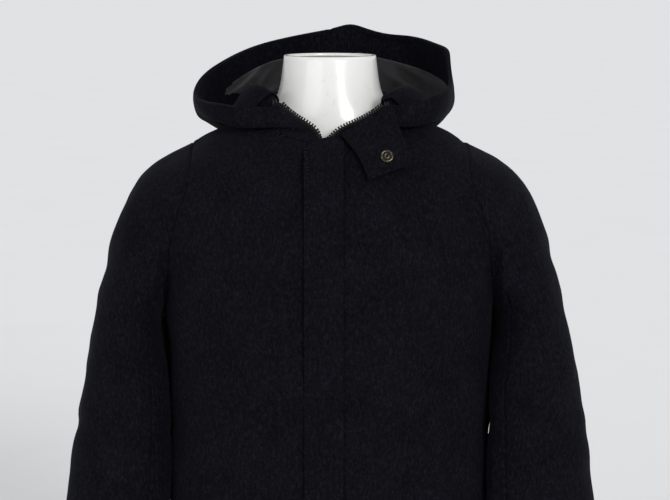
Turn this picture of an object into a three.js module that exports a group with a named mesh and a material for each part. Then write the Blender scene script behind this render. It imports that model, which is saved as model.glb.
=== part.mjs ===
// A hooded wool jacket on a limbless torso form. Millimetres, +Z up, the front faces -Y.
// The wearer's left is +X. The origin is the middle of the form's flat base.
import * as THREE from 'three';
import { mergeVertices } from 'three/addons/utils/BufferGeometryUtils.js';

// Driving dimensions
const cloth = 2.2;            // coat cloth
const liningCloth = 1.2;      // hood lining and facings
const doubled = 3.2;          // placket and throat flap, two layers of cloth
const tape = 1.0;             // zip tape
const seam = 0.3;             // gap between pieces that are sewn together
const hemLevel = 62;
const underarmLevel = 575;
const shoulderLevel = 770;    // outer end of the shoulder seam
const neckSideLevel = 808;    // inner end of the shoulder seam
const neckFrontLevel = 776;   // where the open stretch of the zip begins
const neckBackLevel = 812;
const closingX = -8;          // the front zip hangs a little to the wearer's right
const zipHalf = 3.4;          // from the middle of the zip to each front edge
const frontSteps = 8;         // columns of a front, edge to side
const backSteps = 7;          // columns of half the back
const armholeSteps = 10;      // steps from underarm to shoulder
const colours = { wool: 0x14151f, lining: 0x34363c, tape: 0x0c0c10, metal: 0x6f5f45, form: 0xf2f2f0 };

// Jacket body: outer half width and depths at each level, and how square the section is.
const bodyRings = [
  { level: 62, half: 200, front: 140, back: 133, square: 2.35 },
  { level: 210, half: 195, front: 138, back: 128, square: 2.35 },
  { level: 357, half: 190, front: 136, back: 123, square: 2.35 },
  { level: 480, half: 189, front: 140, back: 129, square: 2.35 },
  { level: 575, half: 191, front: 145, back: 136, square: 2.3 },
  { level: 650, half: 205, front: 146, back: 140, square: 2.2 },
  { level: 705, half: 213, front: 135, back: 132, square: 2.15 },
  { level: 743, half: 204, front: 117, back: 113, square: 2.1 },
  { level: 770, half: 154, front: 101, back: 93, square: 2.1 },
  { level: 784, half: 129, front: 91, back: 82, square: 2.1 },
  { level: 808, half: 79, front: 76, back: 67, square: 2.1 },
  { level: 820, half: 68, front: 70, back: 62, square: 2.1 },
];

// Distance of the armhole seam from the centre line at each level.
const armholeSeam = [
  { level: 575, half: 191 },
  { level: 600, half: 189 },
  { level: 645, half: 184 },
  { level: 691, half: 172 },
  { level: 715, half: 162 },
  { level: 738, half: 154 },
  { level: 770, half: 154 },
];

// Sleeve sections, fanned round the underarm and then stacked down to the cuff: the inner and
// outer ends of each section and its depths in front of and behind its middle.
const sleeveSections = [
  { step: 0, innerX: 191, innerZ: 575, outerX: 154, outerZ: 770, front: 92, back: 88, midY: 0 },
  { step: 1, innerX: 192.6, innerZ: 570, outerX: 184, outerZ: 756, front: 89, back: 86, midY: 0 },
  { step: 2, innerX: 193, innerZ: 564, outerX: 210, outerZ: 741, front: 86, back: 84, midY: 0 },
  { step: 3, innerX: 193, innerZ: 557, outerX: 229, outerZ: 718, front: 83, back: 82, midY: -1 },
  { step: 4, innerX: 192, innerZ: 550, outerX: 243, outerZ: 688, front: 81, back: 80, midY: -2 },
  { step: 5, innerX: 191, innerZ: 541, outerX: 255, outerZ: 650, front: 80, back: 78, midY: -4 },
  { step: 6, innerX: 189, innerZ: 530, outerX: 266, outerZ: 606, front: 79, back: 76, midY: -6 },
  { step: 7, innerX: 186, innerZ: 515, outerX: 276, outerZ: 560, front: 77, back: 74, midY: -8 },
  { step: 8, innerX: 183, innerZ: 492, outerX: 286, outerZ: 512, front: 73, back: 71, midY: -11 },
  { step: 9, innerX: 181, innerZ: 456, outerX: 295, outerZ: 462, front: 70, back: 68, midY: -15 },
  { step: 10, innerX: 180, innerZ: 412, outerX: 302, outerZ: 412, front: 67, back: 65, midY: -19 },
  { step: 11, innerX: 181, innerZ: 360, outerX: 308, outerZ: 360, front: 64, back: 62, midY: -23 },
  { step: 12, innerX: 188, innerZ: 304, outerX: 314, outerZ: 304, front: 60, back: 58, midY: -28 },
  { step: 13, innerX: 200, innerZ: 246, outerX: 318, outerZ: 246, front: 55, back: 53, midY: -33 },
  { step: 14, innerX: 216, innerZ: 188, outerX: 322, outerZ: 188, front: 50, back: 48, midY: -38 },
];

// Folds pressed into the cloth or raised from it: a line in the front view from one end to
// the other, its breadth and its height. Each is on the front or the back of one side.
const folds = [
  { side: -1, face: -1, x1: 214, z1: 693, x2: 186, z2: 628, breadth: 15, height: -7 },
  { side: -1, face: -1, x1: 226, z1: 676, x2: 204, z2: 610, breadth: 13, height: 4 },
  { side: -1, face: -1, x1: 236, z1: 566, x2: 198, z2: 556, breadth: 12, height: -5 },
  { side: 1, face: -1, x1: 226, z1: 704, x2: 190, z2: 622, breadth: 14, height: -7 },
  { side: 1, face: -1, x1: 190, z1: 618, x2: 176, z2: 585, breadth: 16, height: -3 },
  { side: 1, face: -1, x1: 240, z1: 650, x2: 218, z2: 560, breadth: 14, height: -4 },
  { side: 1, face: -1, x1: 60, z1: 560, x2: 150, z2: 470, breadth: 24, height: -4 },
  { side: -1, face: -1, x1: 150, z1: 540, x2: 120, z2: 380, breadth: 30, height: -3 },
  { side: 1, face: 1, x1: 222, z1: 700, x2: 184, z2: 612, breadth: 15, height: -6 },
  { side: -1, face: 1, x1: 220, z1: 696, x2: 186, z2: 618, breadth: 14, height: -6 },
  { side: 1, face: 1, x1: 150, z1: 600, x2: 60, z2: 430, breadth: 30, height: -4 },
  { side: -1, face: 1, x1: 140, z1: 570, x2: 80, z2: 380, breadth: 30, height: -4 },
  { side: 1, face: 1, x1: 288, z1: 430, x2: 216, z2: 400, breadth: 18, height: -4 },
  { side: -1, face: 1, x1: 290, z1: 450, x2: 214, z2: 424, breadth: 18, height: -4 },
];

// Hood stations from the open zip edge round to the middle of the back, on each side: the turn
// about the neck, then the fold beside the neck, the floor, the swell and the rim, each by its
// distance from the middle and its level, and the width of the facing inside the rim.
const hoodRight = [
  { round: 0, turn: 37, foldR: 91, foldZ: 786, floorR: 95, floorZ: 796,
    swellR: 98, swellZ: 807, rimR: 100, rimZ: 815, band: 45 },
  { round: 0.12, turn: 48, foldR: 92, foldZ: 793, floorR: 103, floorZ: 791,
    swellR: 113, swellZ: 800, rimR: 119, rimZ: 814, band: 45 },
  { round: 0.25, turn: 62, foldR: 95, foldZ: 822, floorR: 117, floorZ: 791,
    swellR: 134, swellZ: 797, rimR: 139, rimZ: 814.5, band: 45 },
  { round: 0.33, turn: 71, foldR: 91, foldZ: 835, floorR: 121, floorZ: 792,
    swellR: 142, swellZ: 798, rimR: 147, rimZ: 816, band: 45 },
  { round: 0.4, turn: 80, foldR: 88, foldZ: 838, floorR: 124, floorZ: 793,
    swellR: 149, swellZ: 799, rimR: 153, rimZ: 818, band: 45 },
  { round: 0.5, turn: 93, foldR: 87, foldZ: 836, floorR: 122, floorZ: 794,
    swellR: 151, swellZ: 801, rimR: 157, rimZ: 822, band: 45 },
  { round: 0.62, turn: 115, foldR: 86, foldZ: 830, floorR: 132, floorZ: 782,
    swellR: 168, swellZ: 800, rimR: 160, rimZ: 843, band: 45 },
  { round: 0.72, turn: 131, foldR: 83, foldZ: 824, floorR: 139, floorZ: 759,
    swellR: 176, swellZ: 794, rimR: 163, rimZ: 860, band: 42 },
  { round: 0.8, turn: 145, foldR: 80, foldZ: 822, floorR: 146, floorZ: 738,
    swellR: 184, swellZ: 790, rimR: 166, rimZ: 872, band: 28 },
  { round: 0.87, turn: 157, foldR: 79, foldZ: 822, floorR: 149, floorZ: 724,
    swellR: 187, swellZ: 786, rimR: 166, rimZ: 880, band: 20 },
  { round: 1, turn: 180, foldR: 78, foldZ: 823, floorR: 154, floorZ: 702,
    swellR: 190, swellZ: 780, rimR: 166, rimZ: 892, band: 34 },
];
const hoodLeft = [
  { round: 0, turn: 38, foldR: 91, foldZ: 786, floorR: 95, floorZ: 796,
    swellR: 98, swellZ: 807, rimR: 101, rimZ: 815, band: 45 },
  { round: 0.12, turn: 50, foldR: 92, foldZ: 793, floorR: 103, floorZ: 792,
    swellR: 113, swellZ: 802, rimR: 119, rimZ: 817, band: 45 },
  { round: 0.25, turn: 65, foldR: 97, foldZ: 818, floorR: 116, floorZ: 792,
    swellR: 132, swellZ: 802, rimR: 137, rimZ: 828, band: 45 },
  { round: 0.33, turn: 74, foldR: 92, foldZ: 833, floorR: 118, floorZ: 794,
    swellR: 136, swellZ: 802, rimR: 139, rimZ: 832, band: 45 },
  { round: 0.4, turn: 82, foldR: 88, foldZ: 836, floorR: 118, floorZ: 796,
    swellR: 138, swellZ: 803, rimR: 140, rimZ: 835, band: 45 },
  { round: 0.5, turn: 94, foldR: 87, foldZ: 834, floorR: 118, floorZ: 797,
    swellR: 140, swellZ: 806, rimR: 141, rimZ: 842, band: 45 },
  { round: 0.62, turn: 113, foldR: 86, foldZ: 829, floorR: 130, floorZ: 783,
    swellR: 158, swellZ: 808, rimR: 150, rimZ: 869, band: 46 },
  { round: 0.72, turn: 131, foldR: 83, foldZ: 824, floorR: 138, floorZ: 762,
    swellR: 170, swellZ: 802, rimR: 158, rimZ: 880, band: 42 },
  { round: 0.8, turn: 145, foldR: 80, foldZ: 822, floorR: 146, floorZ: 740,
    swellR: 182, swellZ: 796, rimR: 166, rimZ: 886, band: 36 },
  { round: 0.867, turn: 157, foldR: 79, foldZ: 822, floorR: 149, floorZ: 724,
    swellR: 186, swellZ: 790, rimR: 167, rimZ: 885.5, band: 28 },
  { round: 0.935, turn: 169, foldR: 78, foldZ: 823, floorR: 152, floorZ: 708,
    swellR: 189, swellZ: 784, rimR: 167, rimZ: 897.5, band: 30 },
  { round: 1, turn: 180, foldR: 78, foldZ: 823, floorR: 154, floorZ: 702,
    swellR: 190, swellZ: 780, rimR: 166, rimZ: 892, band: 34 },
];
const neckBand = 42;          // round the neck, inside
const facingSteps = 2;
const liningSteps = 9;
const neckSteps = 3;

// Torso form, smooth and without limbs, with a shallow recess in the top of its neck.
const formRings = [
  { level: 0, half: 168, front: 112, back: 112, square: 2.2 },
  { level: 100, half: 172, front: 116, back: 116, square: 2.2 },
  { level: 210, half: 164, front: 108, back: 108, square: 2.2 },
  { level: 357, half: 146, front: 98, back: 94, square: 2.2 },
  { level: 480, half: 158, front: 112, back: 108, square: 2.2 },
  { level: 575, half: 170, front: 126, back: 120, square: 2.2 },
  { level: 650, half: 184, front: 128, back: 126, square: 2.1 },
  { level: 700, half: 193, front: 121, back: 120, square: 2.05 },
  { level: 727, half: 192, front: 112, back: 112, square: 2.0 },
  { level: 743, half: 183, front: 102, back: 103, square: 2.0 },
  { level: 757, half: 165, front: 80, back: 80, square: 2.0 },
  { level: 770, half: 147.4, front: 70, back: 66, square: 2.0 },
  { level: 782.67, half: 125.8, front: 66, back: 62, square: 2.0 },
  { level: 795.33, half: 98.3, front: 61, back: 58, square: 2.0 },
  { level: 808, half: 70, front: 59, back: 57, square: 2.0 },
  { level: 824, half: 59, front: 57, back: 55, square: 2.0 },
  { level: 846, half: 55.5, front: 54, back: 52, square: 2.0 },
  { level: 868, half: 53, front: 51, back: 50, square: 2.0 },
];
const formSides = 32;
const recessDepth = 3;
const recessShare = 0.93;

const vector = (x, y, z) => new THREE.Vector3(x, y, z);
const mix = THREE.MathUtils.lerp;
const radians = THREE.MathUtils.degToRad;

// Reads one column of a table at a place in its first column, along a smooth curve.
function read(table, column, place) {
  const key = Object.keys(table[0])[0];
  const last = table.length - 1;
  if (place <= table[0][key]) return table[0][column];
  if (place >= table[last][key]) return table[last][column];
  const i = table.findIndex(row => row[key] > place) - 1;
  const slope = k => {
    const before = table[Math.max(k - 1, 0)];
    const after = table[Math.min(k + 1, last)];
    return (after[column] - before[column]) / (after[key] - before[key]);
  };
  const span = table[i + 1][key] - table[i][key];
  const u = (place - table[i][key]) / span;
  const rise = table[i + 1][column] - table[i][column];
  const eased = u * u * (3 - 2 * u);
  const leave = slope(i) * span * u * (1 - u) * (1 - u);
  const arrive = slope(i + 1) * span * u * u * (1 - u);
  return table[i][column] + rise * eased + leave - arrive;
}

const signedPower = (value, power) => Math.sign(value) * Math.pow(Math.abs(value), power);

// A point of a ring table at a turn from the centre front (0) by the side (90) to the back (180).
function ringPoint(rings, turn, level) {
  const power = 2 / read(rings, 'square', level);
  const along = signedPower(Math.sin(radians(turn)), power);
  const across = signedPower(Math.cos(radians(turn)), power);
  const depth = read(rings, across > 0 ? 'front' : 'back', level);
  return vector(read(rings, 'half', level) * along, -depth * across, level);
}

// The turn at which a ring of the body reaches a distance from the centre line.
function turnAt(x, level) {
  const share = Math.min(Math.abs(x) / read(bodyRings, 'half', level), 1);
  const turn = Math.asin(Math.pow(share, read(bodyRings, 'square', level) / 2));
  return Math.sign(x) * THREE.MathUtils.radToDeg(turn);
}

// Height of the folds at a point of one side, on its front or back. A fold keeps its height
// over its middle, fades past it, and none runs across the side seams.
const foldMiddle = 0.3;
const foldFade = 0.25;
const foldFree = 40;
function foldHeight(point, side) {
  let height = 0;
  for (const fold of folds) {
    if (fold.side !== side || fold.face !== Math.sign(point.y)) continue;
    const dx = fold.x2 - fold.x1;
    const dz = fold.z2 - fold.z1;
    const length = Math.hypot(dx, dz);
    const along = ((point.x - fold.x1) * dx + (point.z - fold.z1) * dz) / (length * length);
    const across = ((point.x - fold.x1) * dz - (point.z - fold.z1) * dx) / length;
    const past = Math.max(Math.abs(along - 0.5) - foldMiddle, 0) / foldFade;
    height += fold.height * Math.exp(-((across / fold.breadth) ** 2) - past * past);
  }
  return height * Math.min(Math.abs(point.y) / foldFree, 1);
}

// Unit normals of a grid of points, from its rows and columns.
function gridNormals(grid) {
  const rows = grid.length - 1;
  return grid.map((row, i) => row.map((point, j) => {
    const columns = row.length - 1;
    const across = row[Math.min(j + 1, columns)].clone().sub(row[Math.max(j - 1, 0)]);
    const up = grid[Math.min(i + 1, rows)][j].clone().sub(grid[Math.max(i - 1, 0)][j]);
    return across.cross(up).normalize();
  }));
}

const moved = (grid, normals, distance) => grid.map((row, i) =>
  row.map((point, j) => point.clone().addScaledVector(normals[i][j], distance)));

const mirrored = (grid, side) => grid.map(row => row.map(p => vector(p.x * side, p.y, p.z)));

// Draws the edges of a grid in along its own lines, which opens the gap at a seam.
function drawnIn(grid, { first = 0, last = 0, bottom = 0, top = 0 }) {
  const toward = (from, to, distance) =>
    from.clone().addScaledVector(to.clone().sub(from).normalize(), distance);
  const rows = grid.length - 1;
  const columns = grid[0].length - 1;
  const result = grid.map(row => row.map(point => point.clone()));
  for (let i = 0; i <= rows; i += 1) {
    if (first) result[i][0] = toward(grid[i][0], grid[i][1], first);
    if (last) result[i][columns] = toward(grid[i][columns], grid[i][columns - 1], last);
  }
  const held = result.map(row => row.map(point => point.clone()));
  for (let j = 0; j <= columns; j += 1) {
    if (bottom) result[0][j] = toward(held[0][j], held[1][j], bottom);
    if (top) result[rows][j] = toward(held[rows][j], held[rows - 1][j], top);
  }
  return result;
}

// A closed solid between an outer and an inner grid of the same size.
function sheet(outer, inner) {
  const rows = outer.length - 1;
  const columns = outer[0].length - 1;
  const count = (rows + 1) * (columns + 1);
  const at = (layer, i, j) => layer * count + i * (columns + 1) + j;
  const faces = [];
  const quad = (a, b, c, d) => faces.push(a, b, c, a, c, d);
  for (let i = 0; i < rows; i += 1) {
    for (let j = 0; j < columns; j += 1) {
      quad(at(0, i, j), at(0, i, j + 1), at(0, i + 1, j + 1), at(0, i + 1, j));
      quad(at(1, i, j), at(1, i + 1, j), at(1, i + 1, j + 1), at(1, i, j + 1));
    }
    quad(at(0, i, 0), at(0, i + 1, 0), at(1, i + 1, 0), at(1, i, 0));
    quad(at(0, i + 1, columns), at(0, i, columns), at(1, i, columns), at(1, i + 1, columns));
  }
  for (let j = 0; j < columns; j += 1) {
    quad(at(1, 0, j), at(1, 0, j + 1), at(0, 0, j + 1), at(0, 0, j));
    quad(at(0, rows, j), at(0, rows, j + 1), at(1, rows, j + 1), at(1, rows, j));
  }
  return solid([...outer.flat(), ...inner.flat()], faces);
}

// A geometry from points and faces, turned right side out.
function solid(points, faces) {
  let volume = 0;
  for (let f = 0; f < faces.length; f += 3) {
    const [a, b, c] = faces.slice(f, f + 3).map(k => points[k]);
    volume += a.dot(b.clone().cross(c));
  }
  const geometry = new THREE.BufferGeometry();
  geometry.setAttribute('position', new THREE.Float32BufferAttribute(points.flatMap(p => p.toArray()), 3));
  geometry.setIndex(volume < 0 ? faces.slice().reverse() : faces);
  geometry.computeVertexNormals();
  return geometry;
}

function piece(name, geometry, colour, roughness = 0.95, metalness = 0) {
  const material = new THREE.MeshStandardMaterial({ color: colour, roughness, metalness });
  const mesh = new THREE.Mesh(geometry, material);
  mesh.name = name;
  return mesh;
}

// Points spaced evenly along a row that a function of 0 to 1 draws.
function evenRow(steps, draw, samples = 60) {
  const points = Array.from({ length: samples + 1 }, (_, k) => draw(k / samples));
  const lengths = [0];
  for (let k = 1; k <= samples; k += 1) {
    lengths.push(lengths[k - 1] + points[k].distanceTo(points[k - 1]));
  }
  return Array.from({ length: steps + 1 }, (_, j) => {
    const want = lengths[samples] * j / steps;
    if (j === steps) return points[samples].clone();
    const k = Math.max(lengths.findIndex(length => length >= want), 1);
    const share = (want - lengths[k - 1]) / (lengths[k] - lengths[k - 1]);
    return points[k - 1].clone().lerp(points[k], share);
  });
}

// Body: the levels of the rows at the side edge, which are shared by the front, the back and
// the sleeve. Between underarm and shoulder they follow the turn round the armhole.
const lowSteps = 9;
const shoulderSteps = 3;
const slopeShare = 0.65;      // of a row, over which it rises to its level at the side
const armholeLevel = step =>
  mix(underarmLevel, shoulderLevel, (1 - Math.cos(Math.PI * step / armholeSteps)) / 2);
const sideLevels = [
  ...Array.from({ length: lowSteps }, (_, k) => mix(hemLevel, underarmLevel, k / lowSteps)),
  ...Array.from({ length: armholeSteps + 1 }, (_, k) => armholeLevel(k)),
  ...Array.from({ length: shoulderSteps }, (_, k) =>
    mix(shoulderLevel, neckSideLevel, (k + 1) / shoulderSteps)),
];

// The turn at which a row of the body ends: side seam, armhole seam or shoulder seam.
function edgeTurn(level) {
  if (level <= underarmLevel || level >= shoulderLevel) return 90;
  return turnAt(read(armholeSeam, 'half', level), level);
}

// A panel from its middle edge to the side: face -1 is a front, 1 the back.
function bodyGrid(side, face, steps, middleX, middleTop) {
  const belowNeck = sideLevels[lowSteps];
  const grid = sideLevels.map(level => {
    const rise = Math.max(level - belowNeck, 0) / (neckSideLevel - belowNeck);
    const middle = mix(Math.min(level, belowNeck), middleTop, rise);
    const start = turnAt(middleX * side, middle);
    const end = edgeTurn(level);
    return evenRow(steps, u => {
      const height = mix(middle, level, THREE.MathUtils.smoothstep(u, 0, slopeShare));
      const turn = mix(start, end, u);
      return ringPoint(bodyRings, face < 0 ? turn : 180 - turn, height);
    });
  });
  const normals = gridNormals(grid).map(row => row.map(n => n.multiplyScalar(-face)));
  return grid.map((row, i) => row.map((point, j) =>
    point.addScaledVector(normals[i][j], foldHeight(point, side))));
}

function bodyPanels(side) {
  const edgeX = closingX + side * zipHalf;
  const front = bodyGrid(side, -1, frontSteps, edgeX, neckFrontLevel);
  const back = bodyGrid(side, 1, backSteps, 0, neckBackLevel);
  return { front, back };
}

const outwardOf = (grid, sign) => gridNormals(grid).map(row => row.map(n => n.multiplyScalar(sign)));

// Outward normals of a body panel. Along the side and shoulder seams they point straight out
// of the seam, so that the edges of front and back stay parallel.
function panelNormals(grid, sign, seamColumns) {
  const normals = outwardOf(grid, sign);
  sideLevels.forEach((level, i) => {
    const free = level > underarmLevel && level < shoulderLevel;
    if (!free) seamColumns.forEach(j => normals[i][j].setY(0).normalize());
  });
  return normals;
}

function frontPanel(side, panels) {
  const grid = drawnIn(panels.front, { last: seam / 2 });
  const inner = moved(grid, panelNormals(grid, 1, [frontSteps]), -cloth);
  return sheet(mirrored(grid, side), mirrored(inner, side));
}

// The back is one piece, from one side seam to the other.
function backPanel(right, left) {
  const grid = left.back.map((row, i) => [
    ...mirrored([right.back[i]], -1)[0].slice(1).reverse(),
    ...row,
  ]);
  const drawn = drawnIn(grid, { first: seam / 2, last: seam / 2 });
  return sheet(drawn, moved(drawn, panelNormals(drawn, -1, [0, 2 * backSteps]), -cloth));
}

// A sleeve rests against the side of the body below the armhole.
const restGap = 1.4;
function clearOfBody(point) {
  if (point.z > underarmLevel) return point;
  const square = read(bodyRings, 'square', point.z);
  const depth = read(bodyRings, point.y < 0 ? 'front' : 'back', point.z);
  const share = Math.min(Math.abs(point.y) / depth, 1);
  const side = read(bodyRings, 'half', point.z) * Math.pow(1 - Math.pow(share, square), 1 / square);
  return vector(Math.max(point.x, side + restGap), point.y, point.z);
}

// A sleeve's rows run from the armhole to the cuff. Its columns run from the underarm by the
// front, the outside and the back to the underarm again, and a few columns past it.
const sleeveTurns = 2 * armholeSteps;
const frontSeamColumn = 3;
const sleeveGap = 0.5;
const armholeGap = 0.4;
// How far the lower part of each sleeve is drawn in over the body and hangs forward.
const sleeveSwing = { from: 3, to: 9, [-1]: { inward: 0, forward: 0 }, 1: { inward: 10, forward: 18 } };
const sectionRoundness = 0.9;
function sleeveGrid(side, panels) {
  const edge = k => {
    const step = k <= armholeSteps ? k : sleeveTurns - k;
    const row = (k <= armholeSteps ? panels.front : panels.back)[lowSteps + step];
    return row[row.length - 1].clone().add(vector(armholeGap, 0, 0));
  };
  const { inward, forward } = sleeveSwing[side];
  const loops = sleeveSections.map(section => Array.from({ length: sleeveTurns }, (_, k) => {
    if (section.step === 0) return edge(k);
    const swing = THREE.MathUtils.smoothstep(section.step, sleeveSwing.from, sleeveSwing.to);
    const turn = 2 * Math.PI * k / sleeveTurns;
    const share = (1 - Math.cos(turn)) / 2;
    const depth = Math.sin(turn) > 0 ? section.front : section.back;
    const round = signedPower(Math.sin(turn), sectionRoundness);
    return clearOfBody(vector(mix(section.innerX - inward * swing, section.outerX, share),
      section.midY - forward * swing - depth * round,
      mix(section.innerZ, section.outerZ, share)));
  }));
  const wrapped = loops.map(loop =>
    Array.from({ length: sleeveTurns + frontSeamColumn + 3 }, (_, k) =>
      loop[(k - 1 + sleeveTurns) % sleeveTurns].clone()));
  const normals = outwardOf(wrapped, -1);
  return wrapped.map((row, i) => row.map((point, j) =>
    i === 0 ? point : point.addScaledVector(normals[i][j], foldHeight(point, side))));
}

function sleevePiece(side, grid, firstColumn, lastColumn) {
  const normals = outwardOf(grid, -1);
  const cut = source => source.map(row => row.slice(firstColumn + 1, lastColumn + 2));
  const inner = moved(grid, normals, -cloth);
  const gaps = { first: sleeveGap, last: sleeveGap };
  return sheet(mirrored(drawnIn(cut(grid), gaps), side), mirrored(drawnIn(cut(inner), gaps), side));
}

// Hood: one column of points at a station of one side, from the neck seam over the fold, down
// into the bowl and up to the rim. The facing and the neck facing take no more than their limit
// of its length.
const hoodShares = { fold: 0.25, floor: 0.55, swell: 0.85 };
const bandLimit = 0.28;
const neckLimit = 0.25;
function hoodColumn(table, neckPoint, round, side) {
  const neckTurn = THREE.MathUtils.radToDeg(Math.atan2(neckPoint.x * side, -neckPoint.y));
  const rimTurn = read(table, 'turn', round);
  const place = (share, radius, level) => {
    const turn = radians(mix(neckTurn, rimTurn, share));
    return vector(radius * Math.sin(turn) * side, -radius * Math.cos(turn), level);
  };
  const row = name => read(table, name, round);
  const curve = new THREE.CatmullRomCurve3([
    neckPoint.clone(),
    place(hoodShares.fold, row('foldR'), row('foldZ')),
    place(hoodShares.floor, row('floorR'), row('floorZ')),
    place(hoodShares.swell, row('swellR'), row('swellZ')),
    place(1, row('rimR'), row('rimZ')),
  ], false, 'centripetal');
  const length = curve.getLength();
  const facing = Math.min(row('band'), bandLimit * length);
  const neck = Math.min(neckBand, neckLimit * length);
  const stops = [
    ...Array.from({ length: neckSteps }, (_, k) => neck * k / neckSteps),
    ...Array.from({ length: liningSteps }, (_, k) => mix(neck, length - facing, k / liningSteps)),
    ...Array.from({ length: facingSteps + 1 }, (_, k) =>
      mix(length - facing, length, k / facingSteps)),
  ];
  return stops.map(stop => curve.getPointAt(stop / length));
}

// The whole hood, from the right end of the zip round the back to the left end. Rows run from
// the neck seam to the rim.
function hoodGrid(panels) {
  const half = (side, table) => {
    const { front, back } = panels[side];
    const top = grid => mirrored([grid[grid.length - 1]], side)[0];
    const edge = [...top(front), ...top(back).reverse().slice(1)];
    const end = side > 0 ? edge : edge.slice(0, -1);
    return end.map((point, k) => hoodColumn(table, point.add(vector(0, 0, 2 * seam)),
      k / (edge.length - 1), side));
  };
  const columns = [...half(-1, hoodRight), ...half(1, hoodLeft).reverse()];
  return columns[0].map((_, i) => columns.map(column => column[i]));
}

// The two outer halves, and inside them the facing, the lining and the neck facing, which begin
// a few columns in from the zip.
const insideFrom = 4;
function hoodPieces(grid) {
  const normals = outwardOf(grid, -1);
  const middle = frontSteps + backSteps;
  const last = grid[0].length - 1;
  const neckTop = neckSteps;
  const facingFrom = neckSteps + liningSteps;
  const topRow = grid.length - 1;
  const part = (depth, thickness, firstRow, lastRow, firstColumn, lastColumn, gaps) => {
    const cut = source => source.slice(firstRow, lastRow + 1)
      .map(row => row.slice(firstColumn, lastColumn + 1));
    const skin = drawnIn(cut(moved(grid, normals, -depth)), gaps);
    const inner = drawnIn(cut(moved(grid, normals, -depth - thickness)), gaps);
    return sheet(skin, inner);
  };
  const inside = cloth + 2 * seam;
  const half = seam / 2;
  const wide = 1.5 * seam;
  const from = insideFrom;
  const to = last - insideFrom;
  return [
    piece('hood_right', part(0, cloth, 0, topRow, 0, middle, { last: half }), colours.wool),
    piece('hood_left', part(0, cloth, 0, topRow, middle, last, { first: half }), colours.wool),
    piece('hood_facing', part(inside, liningCloth, facingFrom, topRow, from, to, { bottom: wide }),
      colours.wool),
    piece('hood_lining', part(inside, liningCloth, neckTop, facingFrom, from, to,
      { bottom: wide, top: wide }), colours.lining),
    piece('neck_facing', part(inside, liningCloth, 0, neckTop, from, to, { bottom: wide, top: wide }),
      colours.wool),
  ];
}

// Torso form: stacked rings closed by its flat base and, above, by the recess in its neck.
function torsoForm() {
  const top = formRings[formRings.length - 1].level;
  const ring = (level, scale, height) => Array.from({ length: formSides }, (_, k) => {
    const turn = 360 * k / formSides;
    const point = ringPoint(formRings, turn > 180 ? 360 - turn : turn, level);
    return vector(point.x * scale * (turn > 180 ? -1 : 1), point.y * scale, height);
  });
  const rings = [
    ...formRings.map(row => ring(row.level, 1, row.level)),
    ring(top, recessShare, top),
    ring(top, recessShare, top - recessDepth),
  ];
  const points = [...rings.flat(), vector(0, 0, 0), vector(0, 0, top - recessDepth)];
  const faces = [];
  const lastRing = (rings.length - 1) * formSides;
  for (let k = 0; k < formSides; k += 1) {
    const next = (k + 1) % formSides;
    for (let r = 0; r < rings.length - 1; r += 1) {
      const low = r * formSides;
      const high = low + formSides;
      faces.push(low + k, low + next, high + next, low + k, high + next, high + k);
    }
    faces.push(points.length - 2, next, k, points.length - 1, lastRing + k, lastRing + next);
  }
  return solid(points, faces);
}

// Heights of the body's rows at the closing edge of the fronts.
const middleLevels = sideLevels.map(level => {
  const rise = Math.max(level - underarmLevel, 0) / (neckSideLevel - underarmLevel);
  return mix(Math.min(level, underarmLevel), neckFrontLevel, rise);
});
const chestPoint = (x, level) => ringPoint(bodyRings, turnAt(x, level), level);

// The placket covers the zip. It lies on both fronts and stands off them over the pull tab. Its
// columns run from its free side, each up to its own level, and its free corner is rounded.
const placketColumns = [
  { x: -28, top: 765 },
  { x: -24, top: 771 },
  { x: -18, top: 775 },
  { x: -8, top: 778 },
  { x: 4, top: 780 },
  { x: 15, top: 775 },
];
const placketStand = { from: 690, to: 735, height: 3.6 };
function placket() {
  const grid = middleLevels.map(level => placketColumns.map(({ x, top }) => {
    const share = (level - hemLevel) / (neckFrontLevel - hemLevel);
    return chestPoint(x, mix(hemLevel, top, share));
  }));
  const normals = gridNormals(grid);
  const { from, to, height } = placketStand;
  const lift = point => 2 * seam + height * THREE.MathUtils.smoothstep(point.z, from, to);
  const raise = extra => grid.map((row, i) => row.map((point, j) =>
    point.clone().addScaledVector(normals[i][j], lift(point) + extra)));
  return sheet(raise(doubled), raise(0));
}

// A zip tape runs up behind a front edge and on behind the open edge of the hood.
const tapeUnder = 6;          // width of tape behind an edge
const tapePast = 3.2;         // width of tape that stands clear of it
const tapeDepth = cloth + 0.42;
function zipTape(side, hoodRows) {
  const edgeX = closingX + side * zipHalf;
  const low = middleLevels.slice(0, -1).map(level => [
    chestPoint(edgeX - side * tapePast, level),
    chestPoint(edgeX + side * tapeUnder, level),
  ]);
  const high = hoodRows.map(row => {
    const [edge, next] = side > 0 ? row.slice(-2).reverse() : row.slice(0, 2);
    const across = next.clone().sub(edge).normalize();
    return [-tapePast, tapeUnder].map(reach => edge.clone().addScaledVector(across, reach));
  });
  const grid = [...low, ...high];
  const normals = outwardOf(grid, side);
  return sheet(moved(grid, normals, -tapeDepth), moved(grid, normals, -tapeDepth - tape));
}

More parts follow.
